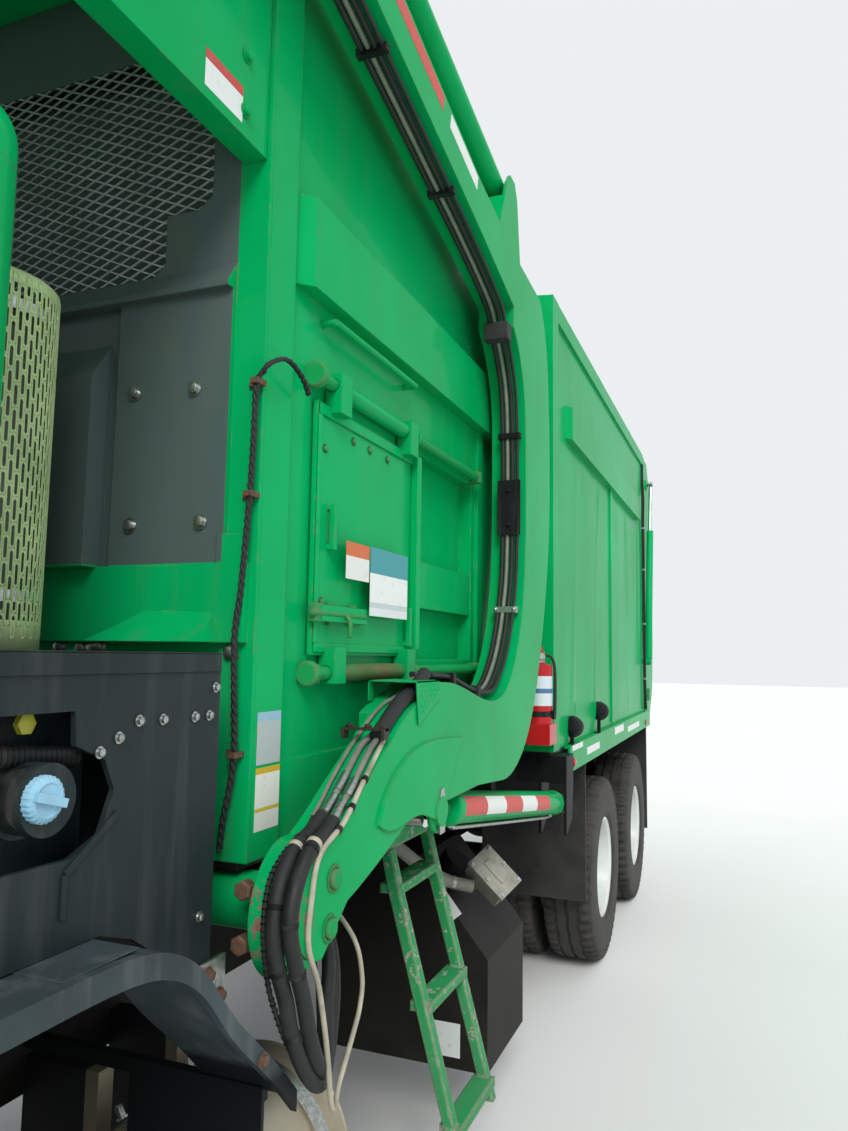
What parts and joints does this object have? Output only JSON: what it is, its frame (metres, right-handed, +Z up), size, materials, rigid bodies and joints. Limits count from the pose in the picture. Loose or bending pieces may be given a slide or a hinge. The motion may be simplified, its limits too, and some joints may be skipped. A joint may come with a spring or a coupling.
{
  "type": "front-loading garbage truck",
  "caption": "Front-loading garbage truck with an open hopper, side door, lift arms with forks over the cab and a lifting tailgate.",
  "frame": {"origin": "on the ground, below the middle of the truck's length and width as it parks", "axes": "+X to the truck's left side, +Y to its rear, +Z up"},
  "size_m": [2.614, 8.61, 4.0106],
  "materials": {
    "green_enamel": "gloss enamel",
    "black_chassis_paint": "satin",
    "black_plastic": "moulded, satin",
    "black_rubber": "matte",
    "tyre_rubber": "matte",
    "white_wheel_paint": "gloss enamel",
    "cab_glass": "clear",
    "lamp_glass": "moulded lens",
    "exhaust_steel": "brushed, tarnished",
    "tank_metal": "brushed",
    "screen_steel": "dull",
    "red_enamel": "gloss",
    "chrome_rod": "hard chrome"
  },
  "bodies": {
    "chassis": {"frame_rails": "black_chassis_paint", "axles": "black_chassis_paint", "engine_block": "black_chassis_paint", "bumpers": "black_chassis_paint", "lamps": "lamp_glass", "cab_shell": "green_enamel", "cab_roof": "green_enamel", "cab_front": "green_enamel", "cab_glass": "cab_glass", "cab_interior": "black_plastic", "front_fenders": "black_plastic", "side_panels": "black_plastic", "exhaust_stack": "exhaust_steel", "exhaust_guard": "exhaust_steel", "mirrors": "black_plastic", "fuel_tank": "tank_metal", "hydraulic_tank": "black_chassis_paint", "battery_box": "black_chassis_paint", "hopper_sides": "green_enamel", "hopper_front": "green_enamel", "hopper_screen": "screen_steel", "canopy": "green_enamel", "body_sides": "green_enamel", "body_roof": "green_enamel", "body_floor": "black_chassis_paint", "door_rails": "green_enamel", "rear_fenders": "green_enamel", "mudflaps": "black_rubber", "ladder": "green_enamel", "extinguisher": "red_enamel"},
    "cab_door_left": {"cab_door_left": "green_enamel", "door_glass_left": "cab_glass"},
    "cab_door_right": {"cab_door_right": "green_enamel", "door_glass_right": "cab_glass"},
    "side_door": {"side_door": "green_enamel"},
    "packer": {"packer": "black_chassis_paint"},
    "knuckle_left": {"knuckle_left": "black_chassis_paint"},
    "knuckle_right": {"knuckle_right": "black_chassis_paint"},
    "front_wheel_left": {"front_tyre_left": "tyre_rubber", "front_rim_left": "white_wheel_paint"},
    "front_wheel_right": {"front_tyre_right": "tyre_rubber", "front_rim_right": "white_wheel_paint"},
    "lift_arms": {"lift_arms": "green_enamel"},
    "lift_barrels": {"lift_barrels": "green_enamel"},
    "lift_rods": {"lift_rods": "chrome_rod"},
    "forks": {"forks": "green_enamel"},
    "fork_barrels": {"fork_barrels": "green_enamel"},
    "fork_rods": {"fork_rods": "chrome_rod"},
    "tailgate": {"tailgate": "green_enamel"},
    "gate_barrels": {"gate_barrels": "green_enamel"},
    "gate_rods": {"gate_rods": "chrome_rod"},
    "rear_wheels_1_left": {"rear_tyres_1_left": "tyre_rubber", "rear_rims_1_left": "white_wheel_paint"},
    "rear_wheels_1_right": {"rear_tyres_1_right": "tyre_rubber", "rear_rims_1_right": "white_wheel_paint"},
    "rear_wheels_2_left": {"rear_tyres_2_left": "tyre_rubber", "rear_rims_2_left": "white_wheel_paint"},
    "rear_wheels_2_right": {"rear_tyres_2_right": "tyre_rubber", "rear_rims_2_right": "white_wheel_paint"}
  },
  "joints": [
    {"name": "steer_left", "type": "hinge", "parent": "chassis", "child": "knuckle_left", "pos_m": [0.87, -2.845, 0.525], "axis": [0, 0, 1], "range_deg": [-35, 35]},
    {"name": "steer_right", "type": "hinge", "parent": "chassis", "child": "knuckle_right", "pos_m": [-0.87, -2.845, 0.525], "axis": [0, 0, 1], "range_deg": [-35.5, 35.5]},
    {"name": "front_spin_left", "type": "hinge", "parent": "knuckle_left", "child": "front_wheel_left", "pos_m": [1.03, -2.845, 0.525], "axis": [1, 0, 0], "continuous": true},
    {"name": "front_spin_right", "type": "hinge", "parent": "knuckle_right", "child": "front_wheel_right", "pos_m": [-1.03, -2.845, 0.525], "axis": [1, 0, 0], "continuous": true},
    {"name": "rear_spin_1_left", "type": "hinge", "parent": "chassis", "child": "rear_wheels_1_left", "pos_m": [0.915, 1.675, 0.525], "axis": [1, 0, 0], "continuous": true},
    {"name": "rear_spin_1_right", "type": "hinge", "parent": "chassis", "child": "rear_wheels_1_right", "pos_m": [-0.915, 1.675, 0.525], "axis": [1, 0, 0], "continuous": true},
    {"name": "rear_spin_2_left", "type": "hinge", "parent": "chassis", "child": "rear_wheels_2_left", "pos_m": [0.915, 3.045, 0.525], "axis": [1, 0, 0], "continuous": true},
    {"name": "rear_spin_2_right", "type": "hinge", "parent": "chassis", "child": "rear_wheels_2_right", "pos_m": [-0.915, 3.045, 0.525], "axis": [1, 0, 0], "continuous": true},
    {"name": "arm_lift", "type": "hinge", "parent": "chassis", "child": "lift_arms", "pos_m": [0, -2.045, 1.264], "axis": [1, 0, 0], "range_deg": [-8, 61]},
    {"name": "lift_swing", "type": "hinge", "parent": "chassis", "child": "lift_barrels", "pos_m": [0, 0.275, 1.115], "axis": [1, 0, 0], "range_deg": [-10.95, 1.44]},
    {"name": "lift_stroke", "type": "slide", "parent": "lift_barrels", "child": "lift_rods", "axis": [0, -0.9899, 0.1418], "range_m": [-0.06623, 0.50438]},
    {"name": "fork_tilt", "type": "hinge", "parent": "lift_arms", "child": "forks", "pos_m": [0, -4.145, 3.878], "axis": [1, 0, 0], "range_deg": [0, 130]},
    {"name": "fork_swing", "type": "hinge", "parent": "lift_arms", "child": "fork_barrels", "pos_m": [0, -0.725, 3.5], "axis": [1, 0, 0], "range_deg": [-0.747, 0.05]},
    {"name": "fork_stroke", "type": "slide", "parent": "fork_barrels", "child": "fork_rods", "axis": [0, -0.988, 0.1543], "range_m": [-0.0001, 0.76215]},
    {"name": "tailgate_lift", "type": "hinge", "parent": "chassis", "child": "tailgate", "pos_m": [0, 3.815, 3.54], "axis": [1, 0, 0], "range_deg": [0, 85]},
    {"name": "gate_swing", "type": "hinge", "parent": "chassis", "child": "gate_barrels", "pos_m": [0, 3.605, 1.75], "axis": [1, 0, 0], "range_deg": [-1.71, 0.05]},
    {"name": "gate_stroke", "type": "slide", "parent": "gate_barrels", "child": "gate_rods", "axis": [0, 0.2082, 0.9781], "range_m": [-0.0001, 0.35981]},
    {"name": "cab_door_left", "type": "hinge", "parent": "chassis", "child": "cab_door_left", "pos_m": [1.046, -4.052, 1.78], "axis": [0, 0, 1], "range_deg": [-70, 0]},
    {"name": "cab_door_right", "type": "hinge", "parent": "chassis", "child": "cab_door_right", "pos_m": [-1.046, -4.052, 1.78], "axis": [0, 0, -1], "range_deg": [-70, 0]},
    {"name": "side_door_slide", "type": "slide", "parent": "chassis", "child": "side_door", "axis": [0, 1, 0], "range_m": [0, 0.555]},
    {"name": "packer_stroke", "type": "slide", "parent": "chassis", "child": "packer", "axis": [0, 1, 0], "range_m": [0, 1.6]}
  ],
  "couplings": [
    {"joint": "steer_right", "follows": "steer_left", "ratio": 1},
    {"joint": "lift_swing", "follows": "arm_lift", "ratio": -0.17906},
    {"joint": "lift_stroke", "follows": "arm_lift", "m_per_rad": 0.47271},
    {"joint": "fork_swing", "follows": "fork_tilt", "ratio": -0.005349},
    {"joint": "fork_stroke", "follows": "fork_tilt", "m_per_rad": 0.33519},
    {"joint": "gate_swing", "follows": "tailgate_lift", "ratio": -0.019489},
    {"joint": "gate_stroke", "follows": "tailgate_lift", "m_per_rad": 0.24199}
  ]
}
